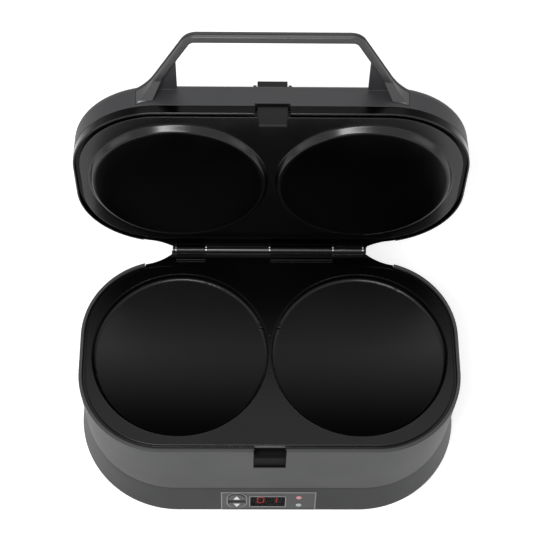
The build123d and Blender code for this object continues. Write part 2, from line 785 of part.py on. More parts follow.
# Bottom cover, with screw pads, vents and the standoffs of the power board
power_board_y = 20.0
foot_points = [(x, y) for x in (-foot_x, foot_x) for y in (-foot_y, foot_y)]
standoffs = [(power_board_x + x, power_board_y + y)
             for x in (-power_board_size[0] / 2 + 4, power_board_size[0] / 2 - 4)
             for y in (-power_board_size[1] / 2 + 4, power_board_size[1] / 2 - 4)]
head_level = -base_height + screw_head_height + 0.2
with BuildPart() as bottom_cover:
    with BuildSketch(base.offset(-base_height)):
        RectangleRounded(*outline_at(cover_level, wall + cover_clearance))
    extrude(amount=cover_thickness)
    add(post(base, column_points, column_radius + 1.5, -cover_level, -column_bottom))
    add(post(base, column_points, shank_hole, -base_height, -column_bottom), mode=Mode.SUBTRACT)
    add(post(base, column_points, screw_head_radius + 0.2, -base_height, head_level), mode=Mode.SUBTRACT)
    add(post(base, standoffs, 3.0, -cover_level, -cover_level + standoff_height))
    add(post(base, standoffs, 1.5, -cover_level + standoff_height,
             -cover_level + standoff_height + board_thickness + 1.0))
    add(post(base, foot_points, 2.5, -base_height, -cover_level), mode=Mode.SUBTRACT)
    with BuildSketch(base.offset(-base_height)):
        for x in (-vent_x, vent_x):
            with Locations((x, vent_y)):
                with GridLocations(vent_pitch, 0, vent_count, 1):
                    SlotOverall(vent_length, vent_width, rotation=90)
    extrude(amount=cover_thickness, mode=Mode.SUBTRACT)
bottom_cover.part.label = "bottom_cover"
export_step(bottom_cover.part, "parts/bottom_cover.step")

with BuildPart() as housing_screws:
    add(screws(base, column_points, -1, head_level, housing_screw_length))
housing_screws.part.label = "housing_screws"
export_step(housing_screws.part, "parts/housing_screws.step")

for place, point in zip(("front_left", "rear_left", "front_right", "rear_right"), foot_points):
    with BuildPart() as foot:
        add(post(base, [point], foot_radius, -base_height - foot_height, -base_height))
        chamfer(foot.faces().sort_by(Axis.Z)[0].edges(), 0.8)
        add(post(base, [point], 2.4, -base_height, -cover_level))
    foot.part.label = "foot_" + place
    export_step(foot.part, "parts/foot_" + place + ".step")

# Power board with its relay and transformer
power_level = -cover_level + standoff_height
with BuildPart() as power_board:
    add(block(base, power_board_size, (power_board_x, power_board_y), power_level,
              power_level + board_thickness))
    add(post(base, standoffs, 1.6, power_level, power_level + board_thickness), mode=Mode.SUBTRACT)
power_board.part.label = "power_board"
export_step(power_board.part, "parts/power_board.step")

with BuildPart() as relay:
    add(block(base, (19.0, 15.5), (power_board_x - 16, power_board_y + 8), power_level + board_thickness,
              power_level + board_thickness + 15.0))
    fillet(relay.edges().filter_by(Axis.Z), 1.0)
relay.part.label = "relay"
export_step(relay.part, "parts/relay.step")

with BuildPart() as transformer:
    foot_of_it = power_level + board_thickness
    add(block(base, (26.0, 22.0), (power_board_x + 14, power_board_y), foot_of_it, foot_of_it + 3.0))
    add(block(base, (28.0, 10.0), (power_board_x + 14, power_board_y), foot_of_it + 3.0, foot_of_it + 22.0))
    add(block(base, (16.0, 20.0), (power_board_x + 14, power_board_y), foot_of_it + 3.0, foot_of_it + 19.0))
transformer.part.label = "transformer"
export_step(transformer.part, "parts/transformer.step")

# Hinge pin and its clip
with BuildPart() as hinge_pin:
    add(rod(base, -cheek_reach + pin_recess, cheek_reach - pin_recess, pin_radius, hinge_reach, 0))
hinge_pin.part.label = "hinge_pin"
export_step(hinge_pin.part, "parts/hinge_pin.step")

with BuildPart() as hinge_pin_clip:
    add(rod(base, -half_hinge - pin_clip_thickness / 2, -half_hinge + pin_clip_thickness / 2,
            barrel_radius - 0.6, hinge_reach, 0))
    add(rod(base, -half_hinge - knuckle_gap, -half_hinge + knuckle_gap, pin_radius + 0.02, hinge_reach, 0),
        mode=Mode.SUBTRACT)
hinge_pin_clip.part.label = "hinge_pin_clip"
export_step(hinge_pin_clip.part, "parts/hinge_pin_clip.step")

# Lid plate: a casting with two raised discs, which reach into the wells when the lid is down
disc_radius = well_radius - disc_clearance
disc_crest = closed_gap - disc_height
post_level = lid_shield_height + shield_thickness
latch_notch = front_edge + 2.7 + latch_thickness + latch_gap
with BuildPart() as lid_plate:
    # The outer edge, which meets the base's rim, with a groove between it and the deck
    with BuildSketch(lid.offset(lid_edge_gap)):
        RectangleRounded(*rim_outline(lid_edge_inset))
    extrude(amount=lid_rim_height - lid_edge_gap - 0.1)
    chamfer(lid_plate.faces().sort_by(Axis(lid.origin, lid.z_dir))[0].outer_wire().edges(), lid_edge_chamfer)
    with BuildSketch(lid.offset(lid_edge_gap)):
        RectangleRounded(*rim_outline(lid_edge_inset + lid_edge_width))
    extrude(amount=lid_rim_height, mode=Mode.SUBTRACT)
    with BuildSketch(lid.offset(closed_gap + flange_drop)):
        RectangleRounded(*rim_outline(lid_edge_inset + lid_edge_width / 2))
        RectangleRounded(*rim_outline(lid_edge_inset + flange_width), mode=Mode.SUBTRACT)
    extrude(amount=flange_thickness)
    add(block(lid, (2 * (cheek_reach + tongue_neck + 1), 2 * deck_inset), (0, body_depth / 2),
              0.0, lid_tongue_level), mode=Mode.SUBTRACT)
    with BuildSketch(lid.offset(closed_gap)):
        RectangleRounded(*rim_outline(deck_inset))
    extrude(amount=lid_deck_thickness)
    for x, y in well_points:
        with BuildSketch(side(lid, x)):
            with BuildLine():
                Polyline((0, closed_gap + 1), (disc_radius, closed_gap + 1), (disc_radius, closed_gap),
                         (disc_radius - disc_slope, disc_crest), (0, disc_crest), close=True)
            make_face()
        revolve(axis=Axis(lid.from_local_coords((x, y, 0)), lid.z_dir))
    rings = lid_plate.edges().filter_by(GeomType.CIRCLE)
    crests = rings.filter_by(lambda ring: abs(ring.radius - disc_radius + disc_slope) < 0.01)
    roots = rings.filter_by(lambda ring: abs(ring.radius - disc_radius) < 0.01)
    fillet(crests, disc_crest_fillet)
    fillet(roots, disc_root_fillet)
    add(post(lid, well_points, lid_pocket_radius, lid_back, closed_gap + lid_deck_thickness + 1),
        mode=Mode.SUBTRACT)
    add(post(lid, well_points, boss_radius, lid_back, lid_clamp_level))
    add(post(lid, well_points, shank_hole, lid_clamp_level, lid_back + 1.0), mode=Mode.SUBTRACT)
    add(post(lid, boss_points, boss_radius, closed_gap + 1, lid_shield_height))
    add(post(lid, boss_points, peg_radius + 0.05, lid_shield_height, post_level - peg_length - 1.0),
        mode=Mode.SUBTRACT)
    add(hinge_half(lid, 1, lid_tongue_level, lid_tongue_thickness, 0))
    add(rod(lid, -cheek_reach - 1, cheek_reach + 1, pin_radius + running_clearance, hinge_reach, 0),
        mode=Mode.SUBTRACT)
    add(block(lid, (2 * (pocket_half + 1.0), 8.0), (0, latch_notch - 4.0), 0.0, lid_rim_height),
        mode=Mode.SUBTRACT)
lid_plate.part.label = "lid_plate"
export_step(lid_plate.part, "parts/lid_plate.step")

# Lid heating: the same rings, clamps and screws above the discs, with a sheet over them
for name, x in (("left", well_points[0][0]), ("right", well_points[1][0])):
    ring, feet = heating_element(lid, x, 1, lid_element_level)
    lid_terminals += feet
    with BuildPart() as lid_element:
        add(ring)
    lid_element.part.label = "lid_heating_element_" + name
    export_step(lid_element.part, "parts/lid_heating_element_" + name + ".step")

with BuildPart() as lid_element_clamps:
    add(element_clamps(lid, 1, lid_clamp_level))
lid_element_clamps.part.label = "lid_element_clamps"
export_step(lid_element_clamps.part, "parts/lid_element_clamps.step")

with BuildPart() as lid_clamp_screws:
    add(screws(lid, well_points, 1, lid_clamp_level + clamp_thickness, clamp_screw_length))
lid_clamp_screws.part.label = "lid_clamp_screws"
export_step(lid_clamp_screws.part, "parts/lid_clamp_screws.step")

with BuildPart() as lid_heat_shield:
    add(heat_shield(lid, 1, lid_shield_height, lid_shield_inset, lid_terminals, peg_radius + 0.1))
lid_heat_shield.part.label = "lid_heat_shield"
export_step(lid_heat_shield.part, "parts/lid_heat_shield.step")


def shell_solid(inset, low, high, edge):
    """The lid's outline between two heights, with a little draft and a rounded top edge."""
    with BuildPart() as solid:
        with BuildSketch(lid.offset(low)):
            RectangleRounded(*rim_outline(inset))
        with BuildSketch(lid.offset(high)):
            RectangleRounded(*rim_outline(inset + lid_draft))
        loft(ruled=True)
        fillet(solid.faces().sort_by(Axis(lid.origin, lid.z_dir))[-1].outer_wire().edges(), edge)
    return solid.part


def front_at(x):
    """Y of the rim's front at x."""
    width, depth, corner = rim_outline(0.0)
    beyond = max(abs(x) - width / 2 + corner, 0.0)
    return corner - depth / 2 - sqrt(corner ** 2 - beyond ** 2)


def handle_plan(level, inset, half_limit):
    """The handle from above, drawn in by inset: a rounded trapezium whose legs flare into the shell."""
    root = front_at(handle_half_root) + handle_root_back
    tip = front_edge - handle_reach + inset
    lean = (handle_half_root - handle_half_top) / (root - tip + inset)
    half_root = handle_half_root - inset * hypot(1, lean)
    half_tip = half_root - (root - tip) * lean
    end = (half_root + handle_shoulder_length * cos(radians(handle_shoulder)),
           root + handle_shoulder_length * sin(radians(handle_shoulder)))
    across = (handle_leg_width - 2 * inset) * hypot(1, lean)
    bar = tip + handle_bar_depth - 2 * inset
    with BuildSketch() as opening:
        with BuildLine():
            Polyline((across - half_root, root), (across - half_tip - (bar - tip) * lean, bar),
                     (half_tip + (bar - tip) * lean - across, bar), (half_root - across, root), close=True)
        make_face()
        with Locations((0, (root + tip) / 2)):
            Rectangle(2 * half_limit, root - tip, mode=Mode.INTERSECT)
        fillet(opening.vertices().filter_by(lambda corner: corner.Y < root - 1), handle_inner_radius)
    with BuildSketch(lid.offset(level)) as plan:
        with BuildLine():
            Polyline((-end[0], end[1]), (-half_root, root), (-half_tip, tip), (half_tip, tip),
                     (half_root, root), end, close=True)
        make_face()
        corners = plan.vertices()
        fillet(corners.filter_by(lambda corner: corner.Y < tip + 1), handle_outer_radius - inset)
        corners = plan.vertices()
        fillet(corners.filter_by(lambda corner: abs(corner.Y - root) < 0.01), handle_root_radius + inset)
        add(opening.sketch, mode=Mode.SUBTRACT)
    return plan.sketch


def outside(edge):
    """Whether an edge of the handle lies wholly in front of the shell."""
    return max(lid.to_local_coords(edge.position_at(end)).Y for end in (0, 1)) < front_edge - handle_leg_width


# Lid shell: the grey cover, moulded in one with the upper half of the carrying handle
pivot_y = front_edge + pivot_back
ear_middle = latch_width / 2 + ear_gap + ear_thickness / 2
slot_half = latch_width / 2 + ear_gap
with BuildPart() as lid_shell:
    extrude(handle_plan(handle_split, 0.0, handle_web_half), amount=handle_top - handle_split)
    upper = lid_shell.faces().sort_by(Axis(lid.origin, lid.z_dir))[-1]
    fillet(upper.edges().filter_by(outside), handle_fillet)
    add(shell_solid(0.0, lid_rim_height, lid_height, lid_fillet))
    add(shell_solid(wall, lid_rim_height, lid_height - wall, lid_fillet - wall), mode=Mode.SUBTRACT)
    add(post(lid, boss_points, post_radius, post_level, lid_height - wall + 0.5))
    add(post(lid, boss_points, peg_radius, post_level - peg_length, post_level))
    for way in (-1, 1):
        add(block(lid, (ear_thickness, 8.0), (way * ear_middle, pivot_y + 0.2), pivot_height - 5.0,
                  lid_height - wall + 0.5))
    add(rod(lid, -ear_middle - 3, ear_middle + 3, pivot_radius + running_clearance, pivot_y, pivot_height),
        mode=Mode.SUBTRACT)
    add(block(lid, (12.0, 2.0), (0, front_edge + 14.9), 20.0, lid_height - wall + 0.5))
    add(block(lid, (2 * slot_half, 2.2), (0, front_edge + wall - 0.3), lid_rim_height - 1, 20.0),
        mode=Mode.SUBTRACT)
    add(block(lid, (2 * slot_half, tab_slot_back - 2.9), (0, front_edge + (tab_slot_back + 2.9) / 2),
              20.0, lid_height + 2), mode=Mode.SUBTRACT)
    add(block(lid, (2 * (pocket_half + 1.1), 4.0), (0, front_edge + 1.0), lid_rim_height - 1,
              lid_rim_height + 2.5), mode=Mode.SUBTRACT)
lid_shell.part.label = "lid_shell"
export_step(lid_shell.part, "parts/lid_shell.step")

# Handle liner: a smooth strip that closes the handle from below, deeper where the legs meet the shell
with BuildPart() as handle_liner:
    extrude(handle_plan(handle_bottom, liner_step, handle_half_root), amount=handle_split - handle_bottom)
    lower = handle_liner.faces().sort_by(Axis(lid.origin, lid.z_dir))[0]
    fillet(lower.edges().filter_by(outside), liner_fillet)
    with BuildPart() as gusset:
        extrude(handle_plan(liner_root_height, liner_step, handle_half_root),
                amount=handle_bottom + liner_fillet - liner_root_height)
        with BuildSketch(side(lid, -handle_half_root - 20)):
            with BuildLine():
                Polyline((front_edge + 12, liner_root_height), (front_edge + 3, liner_root_height),
                         (front_edge, liner_root_height + liner_root_rise),
                         (front_edge - liner_root_reach, handle_bottom + liner_fillet),
                         (front_edge + 12, handle_bottom + liner_fillet), close=True)
            make_face()
        extrude(amount=body_width, mode=Mode.INTERSECT)
    add(shell_solid(-0.05, lid_rim_height, lid_height, lid_fillet), mode=Mode.SUBTRACT)
handle_liner.part.label = "handle_liner"
export_step(handle_liner.part, "parts/handle_liner.step")

# Latch lever: thumb tab on top, hook below, rocking on a pin in the shell's ears
shank_outer = front_edge + 2.7
shank_inner = shank_outer + latch_thickness
nose_top = -ledge_level - 0.35
nose_bottom = nose_top - nose_height
arm_outer = pivot_y - tab_thickness / 2
with BuildPart() as latch_lever:
    with BuildSketch(side(lid, -latch_width / 2)):
        with BuildLine():
            Polyline((shank_outer, pivot_height), (shank_outer, nose_bottom + 1.0),
                     (shank_outer + 1.0, nose_bottom), (shank_inner, nose_bottom),
                     (shank_inner + nose_depth, nose_top - 1.2), (shank_inner + nose_depth, nose_top),
                     (shank_inner, nose_top), (shank_inner, pivot_height), close=True)
        make_face()
        with Locations((pivot_y, pivot_height)):
            Circle(hub_radius)
        with Locations((pivot_y, (pivot_height + tab_height) / 2)):
            Rectangle(tab_thickness, tab_height - pivot_height)
    extrude(amount=latch_width)
    fillet(latch_lever.faces().sort_by(Axis(lid.origin, lid.z_dir))[-1].edges().filter_by(Axis.X), 1.0)
    with BuildSketch(Plane(origin=lid.from_local_coords((0, front_edge - 5, 0)), x_dir=lid.x_dir,
                           z_dir=-lid.y_dir)):
        for way in (-1, 1):
            with BuildLine():
                Polyline((way * latch_width / 2, 2.0), (way * (latch_width / 2 + 2), 2.0),
                         (way * (latch_width / 2 + 2), nose_bottom - 1),
                         (way * (latch_width / 2 - 1.3), nose_bottom - 1), close=True)
            make_face()
    extrude(amount=-12.0, mode=Mode.SUBTRACT)
    add(rod(lid, -latch_width, latch_width, pivot_radius + running_clearance, pivot_y, pivot_height),
        mode=Mode.SUBTRACT)
latch_lever.part.label = "latch_lever"
export_step(latch_lever.part, "parts/latch_lever.step")

with BuildPart() as latch_pivot_pin:
    add(rod(lid, -ear_middle - ear_thickness / 2 - 0.5, ear_middle + ear_thickness / 2 + 0.5, pivot_radius,
            pivot_y, pivot_height))
latch_pivot_pin.part.label = "latch_pivot_pin"
export_step(latch_pivot_pin.part, "parts/latch_pivot_pin.step")

spring_start = lid.from_local_coords((0, arm_outer + tab_thickness + spring_wire / 2 + 0.1, spring_height))
with BuildPart() as latch_spring:
    with BuildLine():
        coil = Helix(pitch=(spring_length - spring_wire) / spring_turns, height=spring_length - spring_wire,
                     radius=spring_radius, center=spring_start, direction=lid.y_dir)
    with BuildSketch(Plane(origin=coil @ 0, z_dir=coil % 0)):
        Circle(spring_wire / 2)
    sweep()
latch_spring.part.label = "latch_spring"
export_step(latch_spring.part, "parts/latch_spring.step")
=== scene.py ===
import math
import bmesh
import bpy
from mathutils import Matrix, Vector


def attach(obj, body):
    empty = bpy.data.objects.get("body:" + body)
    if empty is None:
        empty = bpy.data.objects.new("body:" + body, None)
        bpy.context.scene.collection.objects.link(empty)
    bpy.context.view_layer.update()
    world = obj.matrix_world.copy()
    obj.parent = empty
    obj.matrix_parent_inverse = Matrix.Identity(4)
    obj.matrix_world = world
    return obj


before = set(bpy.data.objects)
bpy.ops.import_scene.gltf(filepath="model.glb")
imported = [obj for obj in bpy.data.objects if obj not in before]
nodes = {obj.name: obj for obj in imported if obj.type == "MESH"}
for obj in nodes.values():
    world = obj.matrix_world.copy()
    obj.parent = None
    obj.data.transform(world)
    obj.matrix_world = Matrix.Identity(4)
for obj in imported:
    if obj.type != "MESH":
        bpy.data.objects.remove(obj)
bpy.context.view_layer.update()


# node tree helpers
def makeNode(tree, kind, inputs=None, **settings):
    node = tree.nodes.new(kind)
    for key, value in settings.items():
        setattr(node, key, value)
    for key, value in (inputs or {}).items():
        if isinstance(value, bpy.types.NodeSocket):
            tree.links.new(value, node.inputs[key])
        else:
            node.inputs[key].default_value = value
    return node


def makeMath(tree, operation, *values, clamp=False):
    node = makeNode(tree, "ShaderNodeMath", dict(enumerate(values)), operation=operation, use_clamp=clamp)
    return node.outputs[0]


def makeGroup(name, inputs, outputs):
    group = bpy.data.node_groups.new(name, "ShaderNodeTree")
    for label, kind, value in inputs:
        socket = group.interface.new_socket(label, in_out="INPUT", socket_type=kind)
        if value is not None:
            socket.default_value = value
    for label, kind in outputs:
        group.interface.new_socket(label, in_out="OUTPUT", socket_type=kind)
    return group, group.nodes.new("NodeGroupInput").outputs, group.nodes.new("NodeGroupOutput").inputs


def fillOutputs(group, sockets, values):
    for label, value in values.items():
        group.links.new(value, sockets[label])


number = "NodeSocketFloat"
colour = "NodeSocketColor"
vector = "NodeSocketVector"


def buildGrain():
    # fine moulded or cast texture, with a broad drift of tone and gloss
    group, given, result = makeGroup("mouldedGrain", [
        ("Tone", colour, (0.1, 0.1, 0.1, 1)), ("Gloss Loss", number, 0.5), ("Grain", number, 900.0),
        ("Mottle", number, 0.2), ("Gloss Spread", number, 0.1), ("Drift", number, 12.0)],
        [("Tone", colour), ("Roughness", number), ("Height", number)])
    place = makeNode(group, "ShaderNodeTexCoord").outputs["Object"]
    fine = makeNode(group, "ShaderNodeTexNoise", {"Vector": place, "Scale": given["Grain"], "Detail": 3.0,
                                                  "Roughness": 0.6}).outputs["Fac"]
    broad = makeNode(group, "ShaderNodeTexNoise", {"Vector": place, "Scale": given["Drift"], "Detail": 4.0,
                                                   "Roughness": 0.55}).outputs["Fac"]
    softened = makeMath(group, "MULTIPLY", fine, 0.6)  # the fine grain counts less than the drift
    both = makeMath(group, "SUBTRACT", makeMath(group, "ADD", softened, broad), 0.8)  # about zero on average
    value = makeMath(group, "MULTIPLY_ADD", both, given["Mottle"], 1.0)
    tinted = makeNode(group, "ShaderNodeHueSaturation", {"Color": given["Tone"], "Value": value})
    rough = makeMath(group, "MULTIPLY_ADD", both, given["Gloss Spread"], given["Gloss Loss"], clamp=True)
    fillOutputs(group, result, {"Tone": tinted.outputs[0], "Roughness": rough, "Height": fine})
    return group


def buildEdgeRubAndHighlight():
    # 1 where an edge is, 0 on flats, from how far a rounded normal leans away from the true one
    group, given, result = makeGroup("edgeRubAndHighlight", [
        ("Radius", number, 0.0006), ("Reach", number, 6.0)], [("Normal", vector), ("Edge", number)])
    bevel = makeNode(group, "ShaderNodeBevel", {"Radius": given["Radius"]}, samples=6)
    true = makeNode(group, "ShaderNodeNewGeometry").outputs["Normal"]
    lean = makeNode(group, "ShaderNodeVectorMath", {0: bevel.outputs[0], 1: true}, operation="DOT_PRODUCT")
    turned = makeMath(group, "SUBTRACT", 1.0, lean.outputs["Value"])
    edge = makeMath(group, "MULTIPLY", turned, given["Reach"], clamp=True)
    fillOutputs(group, result, {"Normal": bevel.outputs[0], "Edge": edge})
    return group


def buildScuffs():
    # sparse fine scratches and faint finger marks, as a mask
    group, given, result = makeGroup("scuffs", [
        ("Scale", number, 60.0), ("Amount", number, 0.5)], [("Mask", number), ("Smudge", number)])
    place = makeNode(group, "ShaderNodeTexCoord").outputs["Object"]
    bent = makeNode(group, "ShaderNodeTexNoise", {"Vector": place, "Scale": 9.0, "Detail": 2.0})
    pushed = makeNode(group, "ShaderNodeVectorMath", {0: place, 1: bent.outputs["Color"],
                                                      2: (0.08, 0.08, 0.08)}, operation="MULTIPLY_ADD")
    stretched = makeNode(group, "ShaderNodeMapping", {"Vector": pushed.outputs[0], "Scale": (1.0, 9.0, 2.5),
                                                      "Rotation": (0.3, 0.2, 0.7)})
    lines = makeNode(group, "ShaderNodeTexNoise", {"Vector": stretched.outputs[0], "Scale": given["Scale"],
                                                   "Detail": 2.0}).outputs["Fac"]
    ridge = makeMath(group, "ABSOLUTE", makeMath(group, "SUBTRACT", lines, 0.5))
    thin = makeNode(group, "ShaderNodeMapRange", {"Value": ridge, "From Min": 0.0, "From Max": 0.006,
                                                  "To Min": 1.0, "To Max": 0.0}).outputs[0]
    patches = makeNode(group, "ShaderNodeTexNoise", {"Vector": place, "Scale": 22.0,
                                                     "Detail": 3.0}).outputs["Fac"]
    some = makeNode(group, "ShaderNodeMapRange", {"Value": patches, "From Min": 0.55,
                                                  "From Max": 0.7}).outputs[0]
    mask = makeMath(group, "MULTIPLY", makeMath(group, "MULTIPLY", thin, some), given["Amount"], clamp=True)
    fillOutputs(group, result, {"Mask": mask, "Smudge": patches})
    return group


def buildSlopeFrame():
    # a place in a turned frame: across it, up along it, and out of its face
    group, given, result = makeGroup("slopeFrame", [
        ("Place", vector, None), ("Turn", vector, None)],
        [("Across", number), ("Up", number), ("Out", number)])
    coords = makeNode(group, "ShaderNodeTexCoord").outputs["Object"]
    local = makeNode(group, "ShaderNodeMapping", {"Vector": coords, "Location": given["Place"],
                                                  "Rotation": given["Turn"]}, vector_type="TEXTURE")
    parts = makeNode(group, "ShaderNodeSeparateXYZ", {0: local.outputs[0]})
    fillOutputs(group, result, {"Across": parts.outputs[0], "Up": parts.outputs[1], "Out": parts.outputs[2]})
    return group


def buildRound():
    # 1 inside a circle about a middle, fading to 0 over its soft edge
    group, given, result = makeGroup("roundMask", [
        ("Middle", vector, None), ("Turn", vector, None), ("Radius", number, 0.07), ("Soft", number, 0.001)],
        [("Mask", number)])
    coords = makeNode(group, "ShaderNodeTexCoord").outputs["Object"]
    local = makeNode(group, "ShaderNodeMapping", {"Vector": coords, "Location": given["Middle"],
                                                  "Rotation": given["Turn"]}, vector_type="TEXTURE")
    flat = makeNode(group, "ShaderNodeVectorMath", {0: local.outputs[0], 1: (1.0, 1.0, 0.0)},
                    operation="MULTIPLY")
    reach = makeNode(group, "ShaderNodeVectorMath", {0: flat.outputs[0]}, operation="LENGTH")
    within = makeMath(group, "SUBTRACT", given["Radius"], reach.outputs["Value"])
    mask = makeMath(group, "DIVIDE", within, given["Soft"], clamp=True)
    fillOutputs(group, result, {"Mask": mask})
    return group


grainGroup = buildGrain()
edgeGroup = buildEdgeRubAndHighlight()
scuffGroup = buildScuffs()
slopeGroup = buildSlopeFrame()
roundGroup = buildRound()


def startMaterial(name):
    material = bpy.data.materials.new(name)
    material.use_nodes = True
    tree = material.node_tree
    tree.nodes.clear()
    surface = makeNode(tree, "ShaderNodeBsdfPrincipled")
    makeNode(tree, "ShaderNodeOutputMaterial", {"Surface": surface.outputs[0]})
    return material, tree, surface


def mixTone(tree, share, first, second):
    node = makeNode(tree, "ShaderNodeMix", data_type="RGBA")
    for index, value in ((0, share), (6, first), (7, second)):
        if isinstance(value, bpy.types.NodeSocket):
            tree.links.new(value, node.inputs[index])
        else:
            node.inputs[index].default_value = value
    return node.outputs[2]


wear = {"scratch": 0.25, "smudge": 0.12}  # how much scratches and finger marks dull a face


def finishMaterial(name, tone, rough, grain=900.0, bump=0.1, depth=0.00004, mottle=0.25, spread=0.12,
                   drift=12.0, edge=0.0006, edgeWearAndHighlightTone=None, scuff=0.0, metallic=0.0, specular=0.5):
    # one finish: grain in the tone and gloss, rounded edges, a lighter tone on them that is partly rubbed
    # wear and partly painted highlight, and fine scuffs
    material, tree, surface = startMaterial(name)
    grained = makeNode(tree, "ShaderNodeGroup", node_tree=grainGroup)
    for key, value in {"Tone": (*tone, 1), "Gloss Loss": rough, "Grain": grain, "Mottle": mottle,
                       "Gloss Spread": spread, "Drift": drift}.items():
        grained.inputs[key].default_value = value
    shade = grained.outputs["Tone"]
    loss = grained.outputs["Roughness"]
    edgeWearAndHighlight = makeNode(tree, "ShaderNodeGroup", node_tree=edgeGroup)
    edgeWearAndHighlight.inputs["Radius"].default_value = edge
    # painted highlight: edges take a lighter tone, partly rubbed wear and partly a painted highlight line
    # along the rounded edges
    if edgeWearAndHighlightTone:
        shade = mixTone(tree, edgeWearAndHighlight.outputs["Edge"], shade, (*edgeWearAndHighlightTone, 1))
    if scuff:
        marks = makeNode(tree, "ShaderNodeGroup", node_tree=scuffGroup)
        marks.inputs["Amount"].default_value = scuff
        loss = makeMath(tree, "MULTIPLY_ADD", marks.outputs["Mask"], wear["scratch"], loss, clamp=True)
        smudge = makeMath(tree, "SUBTRACT", marks.outputs["Smudge"], 0.5)
        loss = makeMath(tree, "MULTIPLY_ADD", smudge, wear["smudge"], loss, clamp=True)
    bumped = makeNode(tree, "ShaderNodeBump", {"Strength": bump, "Distance": depth,
                                               "Height": grained.outputs["Height"],
                                               "Normal": edgeWearAndHighlight.outputs["Normal"]})
    tree.links.new(shade, surface.inputs["Base Color"])
    tree.links.new(loss, surface.inputs["Roughness"])
    tree.links.new(bumped.outputs[0], surface.inputs["Normal"])
    surface.inputs["Metallic"].default_value = metallic
    surface.inputs["Specular IOR Level"].default_value = specular
    return material, tree, surface, shade, loss


# the object's own frames, in metres
sizes = {"wellSpacing": 0.1444, "originBack": 0.02717, "rimHeight": 0.123, "seamHalfDepth": 0.08605,
         "seamHeight": 0.0415, "openAngle": math.radians(95.75), "hingeReach": 0.0944, "flare": 0.00635,
         "flareHeight": 0.0385}
slope = math.atan2(sizes["flare"], sizes["flareHeight"])
frontOrigin = Vector((0, -sizes["seamHalfDepth"] - sizes["originBack"], sizes["seamHeight"]))
frontUp = Vector((0, math.sin(slope), math.cos(slope)))
frontOut = Vector((0, -math.cos(slope), math.sin(slope)))
frontTurn = (math.pi / 2 - slope, 0, 0)
wellMiddles = [(side * sizes["wellSpacing"] / 2, -sizes["originBack"], sizes["rimHeight"])
               for side in (-1, 1)]
lidTurn = -sizes["openAngle"]
lidSpin = Matrix.Rotation(lidTurn, 3, "X")
hingeSpot = Vector((0, sizes["hingeReach"] - sizes["originBack"], sizes["rimHeight"]))


def lidPoint(x, y, z):
    # a place on the lid, given as it would be with the lid shut
    return hingeSpot + lidSpin @ Vector((x, y - sizes["hingeReach"], z))


def panelPoint(x, s, out):
    # a place on the sloped front: across, down from the seam, and proud of the face
    return frontOrigin + Vector((x, 0, 0)) - frontUp * s + frontOut * out


# plain finishes, by the name of their material; their edge tone is partly rubbed wear and partly painted
# highlight
finishes = {
    "housingPlastic": {
        "tone": (0.043, 0.0435, 0.0455), "rough": 0.52, "grain": 1400, "bump": 0.14, "scuff": 0.5,
        "edge": 0.0007, "edgeWearAndHighlightTone": (0.07, 0.07, 0.072), "specular": 0.3},
    "lowerHousingPlastic": {
        "tone": (0.0105, 0.011, 0.012), "rough": 0.5, "grain": 1400, "bump": 0.14, "scuff": 0.5,
        "edge": 0.0007, "edgeWearAndHighlightTone": (0.05, 0.05, 0.052), "specular": 0.3},
    "lidPlastic": {
        "tone": (0.032, 0.0325, 0.0345), "rough": 0.5, "grain": 1400, "bump": 0.12, "scuff": 0.5,
        "edge": 0.0008, "edgeWearAndHighlightTone": (0.055, 0.055, 0.057), "specular": 0.3},
    "linerPlastic": {
        "tone": (0.04, 0.0405, 0.042), "rough": 0.3, "grain": 1800, "bump": 0.06, "mottle": 0.15,
        "scuff": 0.4, "edge": 0.001},
    "blackPlastic": {
        "tone": (0.003, 0.003, 0.003), "rough": 0.42, "grain": 1500, "scuff": 0.3, "specular": 0.25},
    "pocketPlastic": {
        "tone": (0.0015, 0.0015, 0.0015), "rough": 0.7, "grain": 1500, "scuff": 0.3, "specular": 0.08},
    "latchPlastic": {
        "tone": (0.006, 0.006, 0.006), "rough": 0.4, "grain": 1500, "scuff": 0.5,
        "edgeWearAndHighlightTone": (0.015, 0.015, 0.015), "metallic": 0.3, "specular": 0.16},
    "buttonPlastic": {
        "tone": (0.055, 0.055, 0.057), "rough": 0.4, "grain": 1800, "bump": 0.08, "scuff": 0.5,
        "edge": 0.0005, "edgeWearAndHighlightTone": (0.1, 0.1, 0.1), "specular": 0.35},
    "footRubber": {
        "tone": (0.01, 0.01, 0.01), "rough": 0.75, "grain": 1200, "bump": 0.3, "mottle": 0.35,
        "edge": 0.0005},
    "plainSteel": {
        "tone": (0.42, 0.42, 0.43), "rough": 0.35, "grain": 700, "bump": 0.08, "mottle": 0.3, "spread": 0.3,
        "metallic": 1.0, "edge": 0.0003},
    "sheetMetal": {
        "tone": (0.6, 0.6, 0.6), "rough": 0.4, "grain": 500, "bump": 0.05, "spread": 0.3, "metallic": 1.0,
        "edge": 0.0003},
    "elementSheath": {
        "tone": (0.16, 0.14, 0.12), "rough": 0.5, "grain": 500, "bump": 0.2, "mottle": 0.8, "spread": 0.3,
        "metallic": 0.8, "edge": 0.0003},
    "boardGreen": {
        "tone": (0.03, 0.14, 0.05), "rough": 0.4, "grain": 700, "mottle": 0.4, "edge": 0.0002},
    "windingAndCore": {
        "tone": (0.12, 0.1, 0.08), "rough": 0.5, "grain": 600, "bump": 0.3, "mottle": 0.6, "edge": 0.0003},
    "paleTrim": {
        "tone": (0.24, 0.24, 0.25), "rough": 0.35, "grain": 1800, "bump": 0.05, "mottle": 0.15,
        "edge": 0.0003},
    "whitePrint": {
        "tone": (0.82, 0.82, 0.84), "rough": 0.5, "grain": 2500, "mottle": 0.12, "edge": 0.0001}}
plain = {name: finishMaterial(name, **settings)[0] for name, settings in finishes.items()}
print("plain finishes made")
